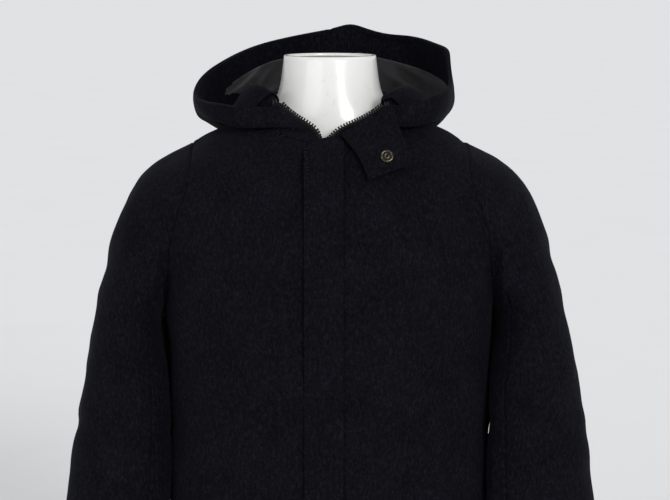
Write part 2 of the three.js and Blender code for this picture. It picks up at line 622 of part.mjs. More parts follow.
// The throat flap hangs from the left zip edge of the hood, turned open, inner side out.
const flapColumns = 6;
const flapRows = 5;
const flapLow = { inner: vector(42, -126, 739), outer: vector(90, -116, 755) };
const flapStand = 3.4;
const flapBulge = 4;
const flapBow = 5;
const flapStart = 3;          // point of the hood's edge where it begins
const flapReach = 1.12;       // of that edge's length, past the rim
function flapPoint(edge, a, b) {
  const end = edge[edge.length - 1];
  const top = edge[flapStart].clone().lerp(end, flapReach * a).add(vector(0, -doubled - flapStand, 0));
  const low = flapLow.inner.clone().lerp(flapLow.outer, a);
  const point = top.lerp(low, b);
  point.x += flapBow * Math.sin(Math.PI * b) * (1 - a);
  point.y -= flapBulge * Math.sin(Math.PI * b) * (0.5 + 0.5 * Math.sin(Math.PI * a));
  return point;
}

function throatFlap(edge) {
  const grid = Array.from({ length: flapRows + 1 }, (_, i) =>
    Array.from({ length: flapColumns + 1 }, (_, j) =>
      flapPoint(edge, j / flapColumns, 1 - i / flapRows)));
  return sheet(grid, moved(grid, gridNormals(grid), -doubled));
}

// Snap socket: a ring with a sunk middle, set on the flap.
const snap = { across: 0.54, down: 0.72, radius: 7.4, well: 3, height: 1.8, sunk: 0.6, soft: 1 };
function snapSocket(edge) {
  const { radius, well, height, sunk, soft } = snap;
  const profile = [[0, 0], [radius, 0], [radius, height - soft / 2], [radius - soft, height],
    [well + soft, height], [well, sunk], [0, sunk]];
  const mesh = piece('snap_socket', closedLathe(profile, 24), colours.metal, 0.35, 1);
  const at = flapPoint(edge, snap.across, snap.down);
  const step = 0.05;
  const across = flapPoint(edge, snap.across + step, snap.down).sub(at);
  const down = flapPoint(edge, snap.across, snap.down + step).sub(at);
  const outward = down.cross(across).normalize();
  mesh.quaternion.setFromUnitVectors(vector(0, 1, 0), outward);
  mesh.position.copy(at.addScaledVector(outward, 1.5 * seam));
  return mesh;
}

// A lathe whose profile starts and ends on the axis, with its seam and poles merged.
function closedLathe(profile, sides) {
  const lathe = new THREE.LatheGeometry(profile.map(([x, y]) => new THREE.Vector2(x, y)), sides);
  lathe.deleteAttribute('normal');
  lathe.deleteAttribute('uv');
  return mergeVertices(lathe, 1e-4);
}

// Slider over the closed end of the zip, and its pull tab, which hangs behind the placket.
const slider = { width: 9, height: 12, plate: 1.8, low: 763 };
const pull = { width: 6, length: 32, thick: 1.4, top: 762 };
const zipGap = 3 * seam;      // from the fronts to the slider and its tab
function zipSlider() {
  const low = chestPoint(closingX, slider.low);
  const top = chestPoint(closingX, slider.low + slider.height);
  const lean = Math.atan2(top.y - low.y, slider.height);
  const off = slider.plate / 2 + zipGap;
  const middle = low.lerp(top, 0.5).add(vector(0, -off * Math.cos(lean), off * Math.sin(lean)));
  const plate = new THREE.BoxGeometry(slider.width, slider.plate, slider.height);
  plate.rotateX(-lean);
  plate.translate(middle.x, middle.y, middle.z);
  return plate;
}

function zipPull() {
  const half = pull.width / 2;
  const outline = new THREE.Shape();
  outline.moveTo(-half, 0);
  outline.lineTo(-half, half - pull.length);
  outline.absarc(0, half - pull.length, half, Math.PI, 2 * Math.PI, false);
  outline.lineTo(half, 0);
  const tab = new THREE.ExtrudeGeometry(outline,
    { depth: pull.thick, bevelEnabled: false, curveSegments: 8 });
  const top = chestPoint(closingX, pull.top);
  const low = chestPoint(closingX, pull.top - pull.length);
  const lean = Math.atan2(top.y - low.y, pull.length);
  tab.rotateX(Math.PI / 2 - lean);
  tab.translate(closingX, top.y - zipGap, pull.top);
  return tab;
}

const panels = { [-1]: bodyPanels(-1), 1: bodyPanels(1) };
const jacket = new THREE.Group();
const hood = hoodGrid(panels);
for (const [side, name] of [[-1, 'right'], [1, 'left']]) {
  const sleeve = sleeveGrid(side, panels[side]);
  const topEnd = sleeveTurns - frontSeamColumn;
  const underEnd = sleeveTurns + frontSeamColumn;
  jacket.add(
    piece(`front_${name}`, frontPanel(side, panels[side]), colours.wool),
    piece(`sleeve_top_${name}`, sleevePiece(side, sleeve, frontSeamColumn, topEnd), colours.wool),
    piece(`sleeve_under_${name}`, sleevePiece(side, sleeve, topEnd, underEnd), colours.wool),
  );
}
jacket.add(piece('back', backPanel(panels[-1], panels[1]), colours.wool), ...hoodPieces(hood));

const hoodEdge = hood.map(row => row[row.length - 1]);
jacket.add(
  piece('placket', placket(), colours.wool),
  piece('throat_flap', throatFlap(hoodEdge), colours.wool),
  snapSocket(hoodEdge),
  piece('zip_tape_right', zipTape(-1, hood), colours.tape),
  piece('zip_tape_left', zipTape(1, hood), colours.tape),
  piece('zip_slider', zipSlider(), colours.metal, 0.4, 1),
  piece('zip_pull', zipPull(), colours.metal, 0.4, 1),
);

const part = new THREE.Group();
part.add(jacket, piece('torso_form', torsoForm(), colours.form, 0.25));
export default part;
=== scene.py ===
import math
import random
import bpy
import bmesh
import numpy as np
from mathutils import Matrix, Vector, noise
from mathutils.kdtree import KDTree


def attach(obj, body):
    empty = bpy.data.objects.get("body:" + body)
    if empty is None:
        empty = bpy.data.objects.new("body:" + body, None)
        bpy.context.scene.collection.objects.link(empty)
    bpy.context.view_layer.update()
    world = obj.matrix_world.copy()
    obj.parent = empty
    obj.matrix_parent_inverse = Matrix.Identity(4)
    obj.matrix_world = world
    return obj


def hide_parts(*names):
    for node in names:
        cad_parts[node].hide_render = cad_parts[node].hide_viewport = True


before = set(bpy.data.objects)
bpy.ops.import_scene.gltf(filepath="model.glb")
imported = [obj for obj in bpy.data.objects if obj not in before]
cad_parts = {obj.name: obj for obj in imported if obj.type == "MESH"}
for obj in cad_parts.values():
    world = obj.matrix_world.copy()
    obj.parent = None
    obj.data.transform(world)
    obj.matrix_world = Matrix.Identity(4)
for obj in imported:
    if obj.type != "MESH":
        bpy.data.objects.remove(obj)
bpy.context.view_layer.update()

scene = bpy.context.scene
random.seed(7)


def newMaterial(name):
    material = bpy.data.materials.new(name)
    material.use_nodes = True
    nodes = material.node_tree.nodes
    shader = nodes["Principled BSDF"]
    return material, nodes, material.node_tree.links, shader


def coordinates(nodes, links, scale):
    source = nodes.new("ShaderNodeTexCoord")
    mapping = nodes.new("ShaderNodeMapping")
    mapping.inputs["Scale"].default_value = scale
    links.new(source.outputs["Object"], mapping.inputs["Vector"])
    return mapping.outputs["Vector"]


def noiseNode(nodes, links, vector, scale, detail=4.0, roughness=0.6):
    node = nodes.new("ShaderNodeTexNoise")
    node.inputs["Scale"].default_value = scale
    node.inputs["Detail"].default_value = detail
    node.inputs["Roughness"].default_value = roughness
    links.new(vector, node.inputs["Vector"])
    return node.outputs["Fac"]


def rampNode(nodes, links, value, stops):
    ramp = nodes.new("ShaderNodeValToRGB")
    elements = ramp.color_ramp.elements
    elements[0].position, elements[0].color = stops[0][0], (*stops[0][1], 1)
    elements[1].position, elements[1].color = stops[-1][0], (*stops[-1][1], 1)
    for place, colour in stops[1:-1]:
        elements.new(place).color = (*colour, 1)
    links.new(value, ramp.inputs["Fac"])
    return ramp.outputs["Color"]


def bumpNode(nodes, links, height, strength, distance, below=None):
    bump = nodes.new("ShaderNodeBump")
    bump.inputs["Strength"].default_value = strength
    bump.inputs["Distance"].default_value = distance
    links.new(height, bump.inputs["Height"])
    if below:
        links.new(below, bump.inputs["Normal"])
    return bump.outputs["Normal"]


def mathNode(nodes, links, operation, first, *others):
    node = nodes.new("ShaderNodeMath")
    node.operation = operation
    for socket, value in zip(node.inputs, (first, *others)):
        if isinstance(value, float):
            socket.default_value = value
        else:
            links.new(value, socket)
    return node.outputs["Value"]


def plainCoordinates(nodes, links):
    return coordinates(nodes, links, (1, 1, 1))


wool = {
    "dark": (0.0011, 0.0011, 0.0020),
    "middle": (0.0032, 0.0032, 0.0055),
    "fleck": (0.0118, 0.0118, 0.0190),
    "stops": (0.36, 0.52, 0.70),
    "fibreScale": 900.0,      # fibre clumps a little over a millimetre
    "tuftScale": 340.0,       # brushed tufts, three millimetres
    "napScale": (1.0, 1.0, 0.5),
    "cloudScale": 22.0,
    "clouds": [(0.3, (0.78, 0.78, 0.78)), (0.7, (1.15, 1.15, 1.15))],
    "pile": (0.8, 0.0010),    # strength and height of a bump
    "lumpScale": 150.0,
    "lumps": (0.35, 0.0014),
    "roughness": 0.92,
    "specular": 0.06,
    "sheen": 0.022,
    "sheenRoughness": 0.45,
    "sheenTint": (0.45, 0.47, 0.62, 1),
}


def woolMaterial():
    material, nodes, links, shader = newMaterial("brushedWool")
    nap = coordinates(nodes, links, wool["napScale"])
    plain = plainCoordinates(nodes, links)
    fine = noiseNode(nodes, links, nap, wool["fibreScale"], 5.0, 0.7)
    tufts = noiseNode(nodes, links, nap, wool["tuftScale"], 4.0, 0.65)
    halfTufts = mathNode(nodes, links, "MULTIPLY", tufts, 0.5)
    fibres = mathNode(nodes, links, "MULTIPLY_ADD", fine, 0.5, halfTufts)
    clouds = noiseNode(nodes, links, plain, wool["cloudScale"], 3.0, 0.5)
    colours = (wool["dark"], wool["middle"], wool["fleck"])
    colour = rampNode(nodes, links, fibres, list(zip(wool["stops"], colours)))
    shade = rampNode(nodes, links, clouds, wool["clouds"])
    mix = nodes.new("ShaderNodeMix")
    mix.data_type = "RGBA"
    mix.blend_type = "MULTIPLY"
    mix.inputs["Factor"].default_value = 1.0
    links.new(colour, mix.inputs["A"])
    links.new(shade, mix.inputs["B"])
    links.new(mix.outputs["Result"], shader.inputs["Base Color"])
    pile = bumpNode(nodes, links, fibres, *wool["pile"])
    lumps = noiseNode(nodes, links, plain, wool["lumpScale"], 3.0, 0.6)
    links.new(bumpNode(nodes, links, lumps, *wool["lumps"], pile), shader.inputs["Normal"])
    shader.inputs["Roughness"].default_value = wool["roughness"]
    shader.inputs["Specular IOR Level"].default_value = wool["specular"]
    shader.inputs["Sheen Weight"].default_value = wool["sheen"]
    shader.inputs["Sheen Roughness"].default_value = wool["sheenRoughness"]
    shader.inputs["Sheen Tint"].default_value = wool["sheenTint"]
    return material


lining = {
    "dark": (0.014, 0.0142, 0.0155),
    "light": (0.036, 0.0365, 0.040),
    "stops": (0.3, 0.72),
    "threads": 1500.0,        # to the metre
    "wavesPerUnit": 6.3,
    "waver": 0.6,
    "weave": (0.25, 0.0002),
    "cloudScale": 30.0,
    "roughness": 0.5,
    "specular": 0.4,
    "sheen": 0.1,
}


def liningMaterial():
    material, nodes, links, shader = newMaterial("greyLining")
    wave = nodes.new("ShaderNodeTexWave")
    wave.wave_type = "BANDS"
    wave.bands_direction = "DIAGONAL"
    wave.inputs["Scale"].default_value = lining["threads"] / lining["wavesPerUnit"]
    wave.inputs["Distortion"].default_value = lining["waver"]
    links.new(plainCoordinates(nodes, links), wave.inputs["Vector"])
    clouds = noiseNode(nodes, links, plainCoordinates(nodes, links), lining["cloudScale"], 4.0, 0.6)
    colours = (lining["dark"], lining["light"])
    colour = rampNode(nodes, links, clouds, list(zip(lining["stops"], colours)))
    links.new(colour, shader.inputs["Base Color"])
    links.new(bumpNode(nodes, links, wave.outputs["Fac"], *lining["weave"]), shader.inputs["Normal"])
    shader.inputs["Roughness"].default_value = lining["roughness"]
    shader.inputs["Specular IOR Level"].default_value = lining["specular"]
    shader.inputs["Sheen Weight"].default_value = lining["sheen"]
    return material


zipTape = {
    "weaveScale": 260.0,
    "colours": [(0.2, (0.004, 0.004, 0.006)), (0.8, (0.010, 0.010, 0.014))],
    "weave": (0.4, 0.0003),
    "roughness": 0.9,
    "specular": 0.08,
}


def tapeMaterial():
    material, nodes, links, shader = newMaterial("zipTapeCloth")
    weave = nodes.new("ShaderNodeTexWave")
    weave.bands_direction = "Z"
    weave.inputs["Scale"].default_value = zipTape["weaveScale"]
    links.new(plainCoordinates(nodes, links), weave.inputs["Vector"])
    colour = rampNode(nodes, links, weave.outputs["Fac"], zipTape["colours"])
    links.new(colour, shader.inputs["Base Color"])
    links.new(bumpNode(nodes, links, weave.outputs["Fac"], *zipTape["weave"]), shader.inputs["Normal"])
    shader.inputs["Roughness"].default_value = zipTape["roughness"]
    shader.inputs["Specular IOR Level"].default_value = zipTape["specular"]
    return material


thread = {
    "twistScale": 1400.0,
    "colours": [(0.3, (0.012, 0.012, 0.018)), (0.7, (0.036, 0.035, 0.044))],
    "roughness": 0.6,
}


def threadMaterial():
    material, nodes, links, shader = newMaterial("navyThread")
    twist = noiseNode(nodes, links, plainCoordinates(nodes, links), thread["twistScale"], 2.0, 0.5)
    links.new(rampNode(nodes, links, twist, thread["colours"]), shader.inputs["Base Color"])
    shader.inputs["Roughness"].default_value = thread["roughness"]
    return material


brass = {
    "tarnishScale": 420.0,
    "stops": (0.35, 0.65),
    "scratchScale": 1500.0,
    "scratches": (0.08, 0.00008),
    "specular": 0.15,
}
antiqueBrass = {
    "name": "antiqueBrass",
    "colours": ((0.014, 0.0128, 0.0085), (0.120, 0.110, 0.078)),
    "roughness": 0.19,
    "metallic": 1.0,
}
toothBrass = {
    "name": "toothBrass",
    "colours": ((0.003, 0.0028, 0.0022), (0.013, 0.012, 0.009)),
    "roughness": 0.6,
    "metallic": 0.0,
}


def brassMaterial(kind):
    material, nodes, links, shader = newMaterial(kind["name"])
    plain = plainCoordinates(nodes, links)
    tarnish = noiseNode(nodes, links, plain, brass["tarnishScale"], 5.0, 0.65)
    colour = rampNode(nodes, links, tarnish, list(zip(brass["stops"], kind["colours"])))
    links.new(colour, shader.inputs["Base Color"])
    scratches = noiseNode(nodes, links, plain, brass["scratchScale"], 2.0, 0.5)
    links.new(bumpNode(nodes, links, scratches, *brass["scratches"]), shader.inputs["Normal"])
    shader.inputs["Metallic"].default_value = kind["metallic"]
    shader.inputs["Specular IOR Level"].default_value = brass["specular"]
    shader.inputs["Roughness"].default_value = kind["roughness"]
    return material


formWhite = {
    "blotchScale": 60.0,
    "colours": [(0.30, (0.62, 0.62, 0.60)), (0.40, (0.74, 0.74, 0.722)), (0.8, (0.76, 0.76, 0.745))],
    "rippleScale": 18.0,
    "ripple": (0.08, 0.004),
    "roughness": 0.22,
    "coat": 0.5,
    "coatRoughness": 0.08,
}


def formMaterial():
    material, nodes, links, shader = newMaterial("glossWhiteForm")
    plain = plainCoordinates(nodes, links)
    blotches = noiseNode(nodes, links, plain, formWhite["blotchScale"], 6.0, 0.7)
    links.new(rampNode(nodes, links, blotches, formWhite["colours"]), shader.inputs["Base Color"])
    ripple = noiseNode(nodes, links, plain, formWhite["rippleScale"], 2.0, 0.4)
    links.new(bumpNode(nodes, links, ripple, *formWhite["ripple"]), shader.inputs["Normal"])
    shader.inputs["Roughness"].default_value = formWhite["roughness"]
    shader.inputs["Coat Weight"].default_value = formWhite["coat"]
    shader.inputs["Coat Roughness"].default_value = formWhite["coatRoughness"]
    return material


# The flat top of the neck is painted grey, in darker and lighter patches.
neckCap = {
    "blotchScale": 160.0,
    "colours": [(0.40, (0.12, 0.115, 0.10)), (0.50, (0.26, 0.27, 0.24)), (0.75, (0.36, 0.37, 0.345))],
    "blotches": (0.3, 0.0008),
    "roughness": 0.6,
    "specular": 0.2,
}


def capMaterial():
    material, nodes, links, shader = newMaterial("greyNeckCap")
    blotches = noiseNode(nodes, links, plainCoordinates(nodes, links), neckCap["blotchScale"], 5.0, 0.75)
    links.new(rampNode(nodes, links, blotches, neckCap["colours"]), shader.inputs["Base Color"])
    links.new(bumpNode(nodes, links, blotches, *neckCap["blotches"]), shader.inputs["Normal"])
    shader.inputs["Roughness"].default_value = neckCap["roughness"]
    shader.inputs["Specular IOR Level"].default_value = neckCap["specular"]
    return material


finishes = {
    "cap": capMaterial(),
    "wool": woolMaterial(),
    "lining": liningMaterial(),
    "zip_tape": tapeMaterial(),
    "thread": threadMaterial(),
    "antique_brass": brassMaterial(antiqueBrass),
    "teeth": brassMaterial(toothBrass),
    "form_white": formMaterial(),
}
print("materials made")


skin = {
    "stripWidth": 0.0026,
    "stripAngle": math.radians(60),
    "edgeAngle": math.radians(84),
    "cornerAngle": math.radians(140),
    "quadBend": math.radians(70),
    "quadShape": math.radians(85),
    "weld": 1e-6,
}


def skinRegions(mesh):
    # The faces of a cloth solid, without its narrow edge strips, as regions, the largest first.
    strip = set()
    for face in mesh.faces:
        narrow = min(edge.calc_length() for edge in face.edges) < skin["stripWidth"]
        turned = any(edge.calc_face_angle(0.0) > skin["stripAngle"] for edge in face.edges)
        if narrow and turned:
            strip.add(face)
    left = set(mesh.faces) - strip
    regions = []
    while left:
        seed = left.pop()
        region = [seed]
        stack = [seed]
        while stack:
            face = stack.pop()
            for edge in face.edges:
                if edge.calc_face_angle(math.pi) > skin["edgeAngle"]:
                    continue
                for other in edge.link_faces:
                    if other in left:
                        left.remove(other)
                        region.append(other)
                        stack.append(other)
        regions.append(region)
    regions.sort(key=lambda region: -sum(face.calc_area() for face in region))
    return regions


def bulge(region):
    # Positive where a region's faces point away from its middle.
    centre = sum((face.calc_center_median() for face in region), Vector()) / len(region)
    return sum(face.calc_area() * face.normal.dot(face.calc_center_median() - centre)
               for face in region)


def addSkin(cloth, node, index, keepOuter):
    # Adds the outer or inner side of a node's cloth, as quads that carry the piece's index.
    mesh = bmesh.new()
    mesh.from_mesh(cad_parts[node].data)
    bmesh.ops.remove_doubles(mesh, verts=mesh.verts, dist=skin["weld"])
    pair = skinRegions(mesh)[:2]
    keep = set(max(pair, key=bulge) if keepOuter else min(pair, key=bulge))
    others = [face for face in mesh.faces if face not in keep]
    bmesh.ops.delete(mesh, geom=others, context="FACES")
    bmesh.ops.join_triangles(mesh, faces=mesh.faces, angle_face_threshold=skin["quadBend"],
                             angle_shape_threshold=skin["quadShape"])
    for face in mesh.faces:
        face.material_index = index
        face.smooth = True
    holder = bpy.data.meshes.new(node + "Skin")
    mesh.to_mesh(holder)
    mesh.free()
    cloth.from_mesh(holder)
    bpy.data.meshes.remove(holder)


def pinCorners(cloth):
    # Corners of the open edges stay where they are when the cloth is subdivided.
    layer = cloth.verts.layers.float.new("crease_vert")
    for vert in cloth.verts:
        rim = [edge for edge in vert.link_edges if edge.is_boundary]
        if len(rim) == 2:
            first = rim[0].other_vert(vert).co - vert.co
            second = rim[1].other_vert(vert).co - vert.co
            if first.angle(second, math.pi) < skin["cornerAngle"]:
                vert[layer] = 1.0


def subdivided(cloth, levels):
    mesh = bpy.data.meshes.new("cage")
    cloth.to_mesh(mesh)
    cloth.free()
    holder = bpy.data.objects.new("cage", mesh)
    scene.collection.objects.link(holder)
    smooth = holder.modifiers.new("smooth", "SUBSURF")
    smooth.levels = smooth.render_levels = levels
    smooth.boundary_smooth = "PRESERVE_CORNERS"
    bpy.context.view_layer.update()
    graph = bpy.context.evaluated_depsgraph_get()
    fine = bpy.data.meshes.new_from_object(holder.evaluated_get(graph))
    bpy.data.objects.remove(holder)
    bpy.data.meshes.remove(mesh)
    result = bmesh.new()
    result.from_mesh(fine)
    bpy.data.meshes.remove(fine)
    return result


def clothPiece(mesh, name, finish, nodes=()):
    # Makes a piece of a mesh, in one finish, in place of the nodes.
    data = bpy.data.meshes.new(name)
    mesh.to_mesh(data)
    mesh.free()
    data.materials.clear()
    data.materials.append(finishes[finish])
    for polygon in data.polygons:
        polygon.material_index = 0
        polygon.use_smooth = True
    piece = bpy.data.objects.new(name, data)
    scene.collection.objects.link(piece)
    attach(piece, "root")
    if nodes:
        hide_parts(*nodes)
    return piece


edgeRound = {"width": 0.0007, "segments": 2, "angle": math.radians(55)}


def thicken(piece, thickness, thickEdge=None):
    # Gives a sheet its wall, inwards, and rounds its cut edges.
    wall = piece.modifiers.new("wall", "SOLIDIFY")
    wall.thickness = thickness
    wall.offset = -1.0
    wall.use_even_offset = False
    if thickEdge:
        wall.vertex_group = thickEdge
        wall.thickness_vertex_group = 0.0
    soft = piece.modifiers.new("softEdge", "BEVEL")
    soft.limit_method = "ANGLE"
    soft.angle_limit = edgeRound["angle"]
    soft.width = edgeRound["width"]
    soft.segments = edgeRound["segments"]
    soft.use_clamp_overlap = True


def splitPiece(cloth, index):
    # A copy of the cloth with one piece's faces alone.
    part = cloth.copy()
    others = [face for face in part.faces if face.material_index != index]
    bmesh.ops.delete(part, geom=others, context="FACES")
    return part


foldShape = {
    "views": {
        # axis across, axis up, axis towards the viewer and its sign
        "front": (0, 2, 1, -1),
        "back": (0, 2, 1, 1),
        "right": (1, 2, 0, -1),
        "left": (1, 2, 0, 1),
    },
    "facing": (0.1, 0.5),     # where a fold starts on a turning surface, and over how much
    "ends": (0.04, 0.96),
    "taper": 0.6,
    "ridges": [(0.45, 1.7), (0.2, -1.9)],   # height and place of the ridges beside a trough
}


def foldField(points, normals, folds):
    # Height of the soft folds at each point. A fold is a trough along a line with a ridge beside
    # it, seen from one side: its width and depth are in millimetres.
    heights = np.zeros(len(points))
    facingFrom, facingOver = foldShape["facing"]
    (high, highAt), (low, lowAt) = foldShape["ridges"]
    for view, width, depth, line in folds:
        across, up, axis, sign = foldShape["views"][view]
        place = points[:, [across, up]] * 1000
        facing = np.clip((normals[:, axis] * sign - facingFrom) / facingOver, 0, 1)
        nearest = np.full(len(points), np.inf)
        side = np.zeros(len(points))
        along = np.zeros(len(points))
        total = len(line) - 1
        for step in range(total):
            start = np.array(line[step], dtype=float)
            run = np.array(line[step + 1], dtype=float) - start
            offset = place - start
            share = np.clip(offset @ run / (run @ run), 0, 1)
            gap = offset - share[:, None] * run
            distance = np.hypot(gap[:, 0], gap[:, 1])
            closer = distance < nearest
            nearest = np.where(closer, distance, nearest)
            turn = np.sign(run[0] * offset[:, 1] - run[1] * offset[:, 0])
            side = np.where(closer, turn, side)
            along = np.where(closer, (step + share) / total, along)
        taper = np.sin(np.pi * np.clip(along, *foldShape["ends"])) ** foldShape["taper"]
        swing = nearest * side / width
        trough = np.exp(-swing ** 2)
        ridge = high * np.exp(-(swing - highAt) ** 2) + low * np.exp(-(swing - lowAt) ** 2)
        heights -= depth / 1000 * taper * facing * (trough - ridge)
    return heights


unevenness = {
    "quickSize": 0.35,        # a second, smaller swell on the first one
    "quickHeight": 0.35,
    "quickFrom": Vector((5, 1, 3)),
    "atEdge": 0.3,
}


def drape(cloth, folds, swell, swellSize, lowest=-1.0):
    # Moves a cloth's points along their normals by its folds and by a slow unevenness.
    cloth.normal_update()
    points = np.array([vert.co for vert in cloth.verts])
    normals = np.array([vert.normal for vert in cloth.verts])
    heights = foldField(points, normals, folds)
    for index, vert in enumerate(cloth.verts):
        point = vert.co
        slow = noise.noise(point / swellSize)
        quick = noise.noise(point / (unevenness["quickSize"] * swellSize) + unevenness["quickFrom"])
        height = heights[index] + swell * (slow + unevenness["quickHeight"] * quick)
        height = max(height, lowest)
        if vert.is_boundary:
            height *= unevenness["atEdge"]
        vert.co = point + Vector(normals[index]) * height


def pull(verts, places):
    # Draws the points near each place over by a move, fading with distance; all in millimetres.
    for vert in verts:
        move = Vector()
        for centre, reach, shift in places:
            distance = (vert.co * 1000 - Vector(centre)).length / reach
            move += Vector(shift) * math.exp(-distance ** 2)
        vert.co += move / 1000


def sinkSeams(cloth, depth, pucker):
    # Presses in the lines where pieces are sewn together, and puckers the cloth beside them.
    cloth.normal_update()
    seam = set()
    for edge in cloth.edges:
        faces = edge.link_faces
        if len(faces) == 2 and faces[0].material_index != faces[1].material_index:
            seam.update(edge.verts)
    beside = {edge.other_vert(vert) for vert in seam for edge in vert.link_edges} - seam
    moves = {vert: vert.normal * -depth for vert in seam}
    for vert in beside:
        wave = noise.noise(vert.co * jacket["puckerScale"]) + 0.5
        moves[vert] = vert.normal * pucker * wave
    for vert, move in moves.items():
        vert.co += move


jacket = {
    "seamGap": 0.0016,        # pieces are welded across their sewn seams
    "smallHole": 8,           # sides of the gaps that are closed where seams meet
    "levels": 3,
    "evenSteps": 6,
    "swell": 0.0022,
    "swellSize": 0.06,
    "seamDepth": 0.0013,
    "pucker": 0.0005,
    "puckerScale": 90,
    "wall": 0.0022,
}
jacketPieces = [
    # node, piece, flat width and length, how it is held, what it rests on
    ("front_right", "frontRight", (0.27, 0.82), "draped", "torsoForm"),
    ("front_left", "frontLeft", (0.28, 0.82), "draped", "torsoForm"),
    ("back", "backPanel", (0.54, 0.82), "draped", "torsoForm"),
    ("sleeve_top_right", "sleeveTopRight", (0.28, 0.64), "hung", "frontRight"),
    ("sleeve_under_right", "sleeveUnderRight", (0.14, 0.45), "hung", "sleeveTopRight"),
    ("sleeve_top_left", "sleeveTopLeft", (0.28, 0.64), "hung", "frontLeft"),
    ("sleeve_under_left", "sleeveUnderLeft", (0.14, 0.45), "hung", "sleeveTopLeft"),
    ("hood_right", "hoodRight", (0.25, 0.41), "draped", "backPanel"),
    ("hood_left", "hoodLeft", (0.25, 0.41), "draped", "backPanel"),
]
jacketFolds = [
    # view, width, depth, line from one end to the other
    ("front", 8, 3.5, [(-213, 694), (-200, 661), (-183, 625)]),
    ("front", 6, 4.0, [(-184, 622), (-188, 592), (-195, 572)]),
    ("front", 10, 3.5, [(-240, 571), (-215, 570), (-194, 566)]),
    ("front", 9, 2.6, [(-243, 615), (-222, 621), (-201, 628)]),
    ("front", 11, 2.2, [(-262, 652), (-238, 640), (-214, 648)]),
    ("front", 12, 2.2, [(-256, 520), (-236, 505), (-214, 512)]),
    ("front", 9, 1.8, [(-155, 545), (-161, 515), (-166, 470)]),
    ("front", 20, 2.4, [(-120, 700), (-135, 620), (-128, 520)]),
    ("front", 26, 2.6, [(-70, 560), (-92, 440), (-84, 300)]),
    ("front", 18, 2.2, [(-150, 430), (-140, 330), (-150, 200)]),
    ("front", 10, 3.5, [(213, 717), (198, 684), (186, 646), (175, 612)]),
    ("front", 12, 4.0, [(222, 658), (213, 621), (202, 576), (190, 500)]),
    ("front", 9, 2.2, [(236, 640), (226, 600), (220, 560)]),
    ("front", 12, 1.8, [(262, 560), (240, 545), (218, 552)]),
    ("front", 14, 1.7, [(52, 606), (72, 586), (86, 566)]),
    ("front", 12, 1.6, [(60, 520), (78, 542), (92, 566)]),
    ("front", 22, 2.4, [(140, 680), (128, 590), (142, 480)]),
    ("front", 26, 2.6, [(96, 470), (84, 360), (98, 220)]),
    ("front", 20, 2.0, [(150, 380), (158, 290), (150, 190)]),
    ("front", 12, 2.6, [(-300, 448), (-268, 434), (-232, 446)]),
    ("front", 12, 2.6, [(300, 432), (268, 420), (232, 434)]),
    ("front", 12, 2.2, [(-304, 405), (-270, 398), (-236, 408)]),
    ("front", 12, 2.2, [(302, 392), (268, 384), (240, 392)]),
    ("front", 14, 2.0, [(-300, 330), (-282, 290), (-286, 240)]),
    ("front", 14, 2.0, [(298, 340), (282, 300), (288, 250)]),
    ("back", 12, 4.0, [(-216, 700), (-202, 660), (-188, 618)]),
    ("back", 12, 4.0, [(218, 704), (204, 662), (190, 616)]),
    ("back", 10, 3.0, [(-236, 640), (-216, 612), (-202, 572)]),
    ("back", 10, 3.0, [(238, 648), (217, 616), (203, 574)]),
    ("back", 24, 4.5, [(-132, 680), (-104, 560), (-98, 400)]),
    ("back", 22, 4.0, [(124, 672), (100, 548), (108, 392)]),
    ("back", 16, 2.6, [(-150, 712), (-112, 676), (-58, 668)]),
    ("back", 15, 2.4, [(152, 706), (110, 668), (56, 664)]),
    ("back", 26, 3.0, [(-40, 520), (-52, 380), (-44, 220)]),
    ("back", 26, 3.0, [(46, 500), (30, 360), (40, 200)]),
    ("back", 13, 4.0, [(-300, 440), (-270, 424), (-236, 438)]),
    ("back", 13, 4.0, [(300, 446), (270, 430), (236, 440)]),
    ("back", 12, 3.0, [(-302, 402), (-272, 392), (-240, 404)]),
    ("back", 12, 3.0, [(304, 408), (272, 396), (240, 408)]),
    ("back", 14, 2.0, [(-306, 300), (-286, 270), (-280, 226)]),
    ("back", 14, 2.0, [(306, 306), (286, 274), (282, 230)]),
    ("right", 14, 2.6, [(-46, 640), (-6, 622), (40, 634)]),
    ("left", 14, 2.6, [(-46, 652), (-4, 630), (42, 640)]),
    ("right", 12, 2.4, [(-52, 452), (-14, 436), (40, 450)]),
    ("left", 12, 2.4, [(-52, 440), (-16, 426), (40, 444)]),
    ("right", 16, 2.0, [(-30, 560), (-22, 500), (-34, 430)]),
    ("left", 16, 2.0, [(-26, 570), (-18, 506), (-30, 440)]),
]


def sewTogether(pieces, keepOuter=True):
    cloth = bmesh.new()
    for index, row in enumerate(pieces):
        addSkin(cloth, row[0], index, keepOuter)
    bmesh.ops.remove_doubles(cloth, verts=cloth.verts, dist=jacket["seamGap"])
    rims = [edge for edge in cloth.edges if edge.is_boundary]
    bmesh.ops.holes_fill(cloth, edges=rims, sides=jacket["smallHole"])
    return cloth


